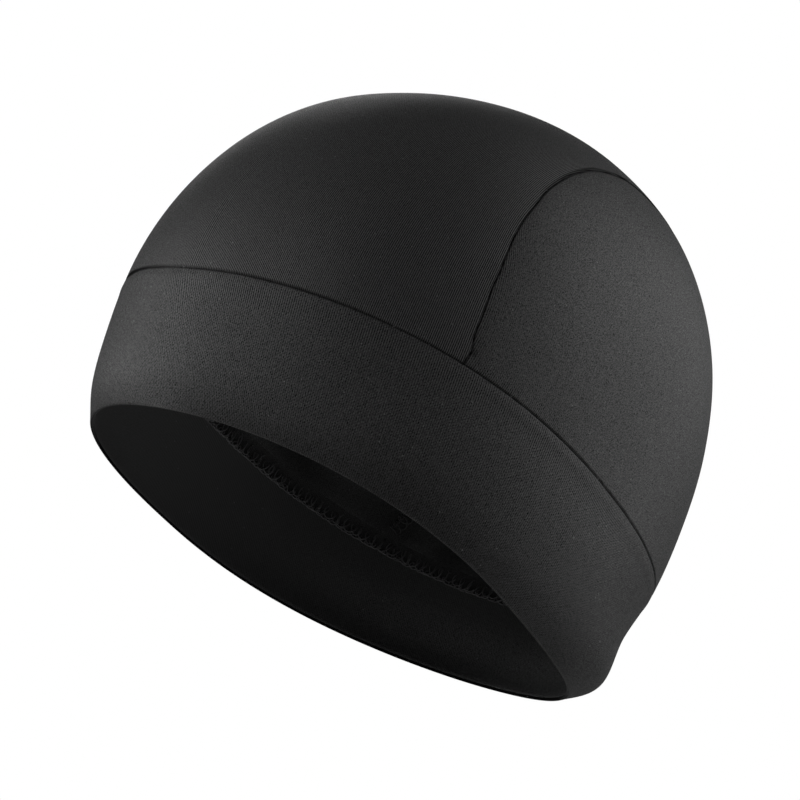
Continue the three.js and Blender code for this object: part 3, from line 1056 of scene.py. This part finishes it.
class CAP_OT_seam_edges(bpy.types.Operator):
    """Makes the cloth of the seam allowances, inside the cap"""

    bl_idname = "cap.seam_edges"
    bl_label = "Seam edges"

    def execute(self, context):
        top, bottom, out = band_edge_lines()
        sections = rounded_strip(top, bottom, out, BAND_EDGE_THICKNESS)
        height = round_lengths(sections)
        width = np.linspace(0, size_of(np.diff(top, axis=0)).sum(), BAND_AROUND + 1)
        coordinates = np.stack([np.broadcast_to(width[:, None], height.shape), height], -1)
        # Painted shade on the lower half of the band allowance
        shade = np.repeat([BAND_EDGE_SHADE, 1], EDGE_TURNS)
        marks = edge_marks(sections.shape[:2], shade, BAND_EDGE_WRONG_SIDE)
        piece = ring_piece("band_seam_edge", sections[:, ::-1], coordinates, marks)
        finish_piece(piece, "band_seam_allowance")
        top, bottom, out = arch_edge_lines()
        for side, turn in SIDES:
            sections = rounded_strip(top, bottom, out, ARCH_EDGE_THICKNESS) * [turn, 1, 1]
            marks = edge_marks(sections.shape[:2], ARCH_EDGE_SHADE, 0)
            piece = strip_piece(f"{side}_arch_seam_edge", sections if turn < 0 else sections[:, ::-1], marks)
            finish_piece(piece, f"panel_seam_allowance_{side}")
        return {"FINISHED"}


# Overlock stitches, inside

LOOP_STEPS = 14

# How far a loop's thread stands off the cloth in its middle and at its crossing, in thicknesses
LOOP_LIFT = 0.9
CROSSING_LIFT = 0.6
CROSSING_START = 0.8

# How unevenly the loops are turned and sized: along the seam, across it and off the cloth
LOOP_TURN = 0.42
LOOP_SMALLEST = (0.75, 0.76, 0.9)
LOOP_LARGEST = (1.35, 1.1, 1.25)
TURN_SEED = 4
SIZE_SEED = 7

# Shares of a stitch's length or height, and of the thread's thickness
LOOP_WIDTH = 0.34
KNOT_WIDTH = 0.45
LOOP_PLACE = 0.46
KNOT_PLACE = 0.25
THREAD_LIFT = 0.4
TANGENT_REACH = 0.3


def stitch_tree():
    """A node group that sets a loop of thread on each point, its X along the seam and its Z off the cloth"""
    tree = bpy.data.node_groups.new("overlock_loops", "GeometryNodeTree")
    sizes = ("Loop length", "Loop height", "Loop width", "Thread thickness")
    sockets = {"Geometry": "Geometry", **dict.fromkeys(sizes, "Float"), "Thread sides": "Int"}
    for name, kind in {**sockets, "Thread": "Material"}.items():
        tree.interface.new_socket(name, in_out="INPUT", socket_type=f"NodeSocket{kind}")
    tree.interface.new_socket("Geometry", in_out="OUTPUT", socket_type="NodeSocketGeometry")
    nodes = Nodes(tree)
    geometry, length, height, width, thickness, sides, material, _ = nodes.add("NodeGroupInput", output=None)

    share = nodes.add("GeometryNodeSplineParameter")
    turn = share * math.tau
    x = (share - 0.5) * length - turn.sine() * width
    swing = turn.math("COSINE", turn)
    y = swing * (height * -0.5)
    z = (turn * 0.5).sine() * thickness * LOOP_LIFT
    z = z + (turn + CROSSING_START).sine() * thickness * CROSSING_LIFT
    path = nodes.add("ShaderNodeCombineXYZ", {0: x, 1: y, 2: z})
    line = nodes.add("GeometryNodeCurvePrimitiveLine", {"End": (1.0, 0.0, 0.0)})
    line = nodes.add("GeometryNodeResampleCurve", {"Curve": line, "Count": LOOP_STEPS})
    edge = {"Geometry": line, "Name": "edge", "Value": 0.5 - 0.5 * swing}
    line = nodes.add("GeometryNodeStoreNamedAttribute", edge, data_type="FLOAT", domain="POINT")
    line = nodes.add("GeometryNodeSetPosition", {"Geometry": line, "Position": path})
    profile = nodes.add("GeometryNodeCurvePrimitiveCircle", {"Resolution": sides, "Radius": thickness * 0.5})
    loop = nodes.add("GeometryNodeCurveToMesh", {"Curve": line, "Profile Curve": profile, "Fill Caps": True})

    vector = {"data_type": "FLOAT_VECTOR"}
    along = nodes.add("GeometryNodeInputNamedAttribute", {"Name": "along"}, **vector)
    off = nodes.add("GeometryNodeInputNamedAttribute", {"Name": "off"}, **vector)
    facing = nodes.add("FunctionNodeAlignRotationToVector", {"Vector": off}, axis="Z")
    forward = {"Rotation": facing, "Vector": along}
    facing = nodes.add("FunctionNodeAlignRotationToVector", forward, axis="X", pivot_axis="Z")
    turns = {0: (0.0, 0.0, -LOOP_TURN), 1: (0.0, 0.0, LOOP_TURN), "Seed": TURN_SEED}
    turned = nodes.add("FunctionNodeRandomValue", turns, **vector)
    sizes = {0: LOOP_SMALLEST, 1: LOOP_LARGEST, "Seed": SIZE_SEED}
    sized = nodes.add("FunctionNodeRandomValue", sizes, **vector)
    loops = {"Points": geometry, "Instance": loop, "Rotation": facing}
    row = nodes.add("GeometryNodeInstanceOnPoints", loops)
    row = nodes.add("GeometryNodeRotateInstances", {"Instances": row, "Rotation": turned})
    row = nodes.add("GeometryNodeScaleInstances", {"Instances": row, "Scale": sized})
    row = nodes.add("GeometryNodeRealizeInstances", {"Geometry": row})
    row = nodes.add("GeometryNodeSetShadeSmooth", {"Geometry": row})
    row = nodes.add("GeometryNodeSetMaterial", {"Geometry": row, "Material": material})
    nodes.add("NodeGroupOutput", {"Geometry": row})
    return tree


def stitch_places(line, off, pitch, closed):
    """Evenly spaced places along a line, the ways along it and off the cloth, and the step"""
    if closed:
        line, off = np.concatenate([line, line[:1]]), np.concatenate([off, off[:1]])
    length = np.concatenate([[0], size_of(np.diff(line, axis=0)).cumsum()])
    count = round(length[-1] / pitch)
    middle = (np.arange(count) + 0.5) * length[-1] / count

    def values_at(column, place):
        return np.stack([np.interp(place, length, column[:, k]) for k in range(3)], -1)

    reach = TANGENT_REACH * pitch
    along = values_at(line, middle + reach) - values_at(line, middle - reach)
    return values_at(line, middle), along, values_at(off, middle), length[-1] / count


def stitch_row(name, tree, line, off, pitch, sizes, closed, material):
    """One row of loops as a plain mesh object. sizes: height, width and thickness, and the thread's sides."""
    places, along, off, step = stitch_places(line, off, pitch / METRES, closed)
    mesh = bpy.data.meshes.new(name)
    mesh.from_pydata((places * METRES).tolist(), [], [])
    for attribute, values in (("along", along), ("off", off)):
        layer = mesh.attributes.new(attribute, "FLOAT_VECTOR", "POINT")
        layer.data.foreach_set("vector", unit(values).astype(np.float32).ravel())
    row = add_object(name, mesh)
    modifier = row.modifiers.new("Overlock", "NODES")
    modifier.node_group = tree
    inputs = [item for item in tree.interface.items_tree if item.in_out == "INPUT"]
    for item, value in zip(inputs[1:], (step * METRES, *sizes, material)):
        modifier[item.identifier] = value
    evaluated = row.evaluated_get(bpy.context.evaluated_depsgraph_get())
    plain = bpy.data.meshes.new_from_object(evaluated)
    plain.name = name
    row.modifiers.remove(modifier)
    row.data = plain
    bpy.data.meshes.remove(mesh)
    return row


def join_meshes(name, parts, material):
    build = bmesh.new()
    for part in parts:
        build.from_mesh(part.data)
    piece = made_object(name, build, material)
    piece.data.shade_smooth()
    for part in parts:
        bpy.data.meshes.remove(part.data)
    return piece


class CAP_OT_overlock(bpy.types.Operator):
    """Makes the overlock thread over the seam allowances"""

    bl_idname = "cap.overlock"
    bl_label = "Overlock thread"

    def execute(self, context):
        stitches = context.scene.cap_stitching
        tree = stitch_tree()
        thread_size = (stitches.thickness, stitches.sides)
        loops = (stitches.loop_height, LOOP_WIDTH * stitches.loop_length, *thread_size)
        knots = (stitches.knot_height, KNOT_WIDTH * stitches.knot_length, *thread_size)
        rows = {"band": (band_edge_lines(), BAND_EDGE_THICKNESS, 1, "band_seam_allowance")}
        for side, turn in SIDES:
            node = f"panel_seam_allowance_{side}"
            rows[f"{side}_arch"] = (arch_edge_lines(), ARCH_EDGE_THICKNESS, turn, node)
        for label, ((top, bottom, out), thickness, turn, node) in rows.items():
            closed = label == "band"
            mirror = np.array([turn, 1, 1])
            lift = thickness / 2 + THREAD_LIFT * stitches.thickness / METRES
            down = unit(bottom - top)
            middle = (bottom - down * LOOP_PLACE * stitches.loop_height / METRES - out * lift) * mirror
            edge = bottom - down * KNOT_PLACE * stitches.knot_height / METRES - out * 0.5 * thickness
            edge, off = edge * mirror, -out * mirror
            material = thread("band_thread" if closed else "arch_thread")
            parts = [
                stitch_row("loops", tree, middle, off, stitches.loop_length, loops, closed, material),
                stitch_row("knots", tree, edge, off, stitches.knot_length, knots, closed, material),
            ]
            piece = join_meshes(f"{label}_overlock_thread", parts, material)
            finish_piece(piece, node)
        return {"FINISHED"}


# Stage

CAMERA_AZIMUTH = math.radians(48.58)
CAMERA_ELEVATION = math.radians(-21.65)
CAMERA_ROLL = math.radians(30.4)
CAMERA_DISTANCE = 0.6326
CAMERA_SHIFT_RIGHT = -0.0031
CAMERA_TARGET = Vector((0, -0.0075, 0.05816))
CAMERA_LENS = 93.8
CAMERA_RANGE = (0.01, 50)
SENSOR = 36
BACKDROP_RADIUS = 6.0
FLOOR_SHARE = 0.98
FLOOR_GLOW = 0.7
FLOOR_BOUNCE = 0.5
FLOOR_ROUGHNESS = 0.55
FLOOR_CLOUD_SCALE = 3.0
FLOOR_CLOUDS = 0.2
WORLD_STRENGTH = 0.0137
LAMP_SIZE = 0.5

# Soft lights round the camera's view: how far right, up and towards the camera, and power
LIGHTS = {
    "front": ((0.05, -0.36, 1.09), 1.4),
    "left_high": ((-0.51, 0.72, 0.73), 2.9),
    "left_upper": ((-0.85, 0.55, 0.52), 1.9),
    "left_top": ((-1.02, 0.52, -0.1), 3.65),
    "left_side": ((-1.09, 0.14, -0.33), 4.8),
    "right_side": ((1.11, 0.3, -0.07), 4.7),
    "right_back": ((0.95, 0.15, -0.62), 2.1),
    "right_low": ((1.08, -0.33, -0.22), 3.3),
    "right_top": ((0.9, 0.64, -0.3), 1.95),
    "right_under": ((0.61, -0.95, 0.24), 0.7),
    "underside": ((0.4, -1.07, -0.13), 1.5),
    "back": ((-0.12, 0.5, -1.03), 3.0),
}


def camera_axes():
    """The camera's ways right, up and back, before it is rolled"""
    a, e = CAMERA_AZIMUTH, CAMERA_ELEVATION
    right = Vector((math.cos(a), math.sin(a), 0))
    back = Vector((math.sin(a) * math.cos(e), -math.cos(a) * math.cos(e), math.sin(e)))
    return right, back.cross(right), back


class CAP_OT_stage(bpy.types.Operator):
    """Makes the floor, the backdrop, the lights and the camera"""

    bl_idname = "cap.stage"
    bl_label = "Stage"

    def execute(self, context):
        scene = context.scene
        settings = scene.cap_stage
        scene.view_settings.view_transform = "Standard"
        level_right, level_up, back = camera_axes()
        target = CAMERA_TARGET + level_right * CAMERA_SHIFT_RIGHT
        c, s = math.cos(CAMERA_ROLL), math.sin(CAMERA_ROLL)
        right, up = level_right * c + level_up * s, level_up * c - level_right * s
        data = bpy.data.cameras.new("camera")
        data.sensor_fit = "HORIZONTAL"
        data.sensor_width = SENSOR
        data.lens = CAMERA_LENS
        data.clip_start, data.clip_end = CAMERA_RANGE
        scene.camera = add_object("camera", data)
        turn = Matrix((right, up, back)).transposed().to_quaternion()
        scene.camera.matrix_world = Matrix.LocRotScale(target + back * CAMERA_DISTANCE, turn, None)

        for name, (place, power) in LIGHTS.items():
            lamp = bpy.data.lights.new(name, "AREA")
            lamp.shape = "SQUARE"
            lamp.size = LAMP_SIZE
            lamp.energy = power * settings.light_scale
            light = add_object(name, lamp)
            away = right * place[0] + up * place[1] + back * place[2]
            light.location = target + away
            light.rotation_mode = "QUATERNION"
            light.rotation_quaternion = away.to_track_quat("Z", "Y")
            light.visible_camera = False

        scene.world = bpy.data.worlds.new("studio")
        scene.world.use_nodes = True
        nodes = Nodes(scene.world.node_tree)
        way = nodes.add("ShaderNodeTexCoord")
        below = (0 - nodes.add("ShaderNodeSeparateXYZ", {"Vector": way}, output=2)).clamp()
        light = (WORLD_STRENGTH + FLOOR_BOUNCE * below * below) * settings.light_scale
        nodes.finish({"Color": WHITE, "Strength": light}, "ShaderNodeBackground", "ShaderNodeOutputWorld")

        self.floor(settings)
        self.backdrop()
        return {"FINISHED"}

    def floor(self, settings):
        material, nodes = new_material("pale_floor")
        surface = {
            "Base Color": (*settings.floor_colour, 1.0),
            "Roughness": FLOOR_ROUGHNESS + FLOOR_CLOUDS * nodes.noise(FLOOR_CLOUD_SCALE),
            "Emission Color": WHITE,
            "Emission Strength": FLOOR_GLOW,
        }
        nodes.finish(surface)
        build = bmesh.new()
        bmesh.ops.create_circle(build, cap_ends=True, segments=96, radius=BACKDROP_RADIUS * FLOOR_SHARE)
        bmesh.ops.translate(build, verts=build.verts, vec=(0, 0, -settings.floor_drop))
        self.place("floor", build, material)

    def backdrop(self):
        material, nodes = new_material("white_backdrop")
        nodes.finish({"Color": WHITE, "Strength": 1.0}, "ShaderNodeEmission")
        build = bmesh.new()
        bmesh.ops.create_uvsphere(build, u_segments=64, v_segments=32, radius=BACKDROP_RADIUS)
        bmesh.ops.reverse_faces(build, faces=build.faces)
        self.place("backdrop", build, material)

    def place(self, name, build, material):
        """Sets up a part of the stage that is seen but casts neither light nor shade on the cap"""
        thing = made_object(name, build, material)
        for way in ("diffuse", "glossy", "transmission", "shadow"):
            setattr(thing, f"visible_{way}", False)


class CAP_PT_sidebar(bpy.types.Panel):
    """Lists the cap's settings and its pieces"""

    bl_idname = "CAP_PT_sidebar"
    bl_label = "Cycling cap"
    bl_space_type = "VIEW_3D"
    bl_region_type = "UI"
    bl_category = "Cycling cap"

    def draw(self, context):
        for group in SETTINGS:
            box = self.layout.box()
            for name in getattr(context.scene, group).__annotations__:
                box.prop(getattr(context.scene, group), name)
        for operator in OPERATORS:
            self.layout.operator(operator.bl_idname)


SETTINGS = {"cap_cloth": CapCloth, "cap_stitching": CapStitching, "cap_stage": CapStage}
OPERATORS = (
    CAP_OT_stage,
    CAP_OT_brow_band,
    CAP_OT_centre_panel,
    CAP_OT_side_panels,
    CAP_OT_seam_edges,
    CAP_OT_overlock,
)


def register():
    for group in (*SETTINGS.values(), *OPERATORS, CAP_PT_sidebar):
        bpy.utils.register_class(group)
    for name, group in SETTINGS.items():
        setattr(bpy.types.Scene, name, PointerProperty(type=group))


def unregister():
    for name in SETTINGS:
        delattr(bpy.types.Scene, name)
    for group in (CAP_PT_sidebar, *reversed(OPERATORS), *reversed(SETTINGS.values())):
        bpy.utils.unregister_class(group)


def main():
    register()
    for operator in OPERATORS:
        category, name = operator.bl_idname.split(".")
        getattr(getattr(bpy.ops, category), name)()


if __name__ == "__main__":
    main()
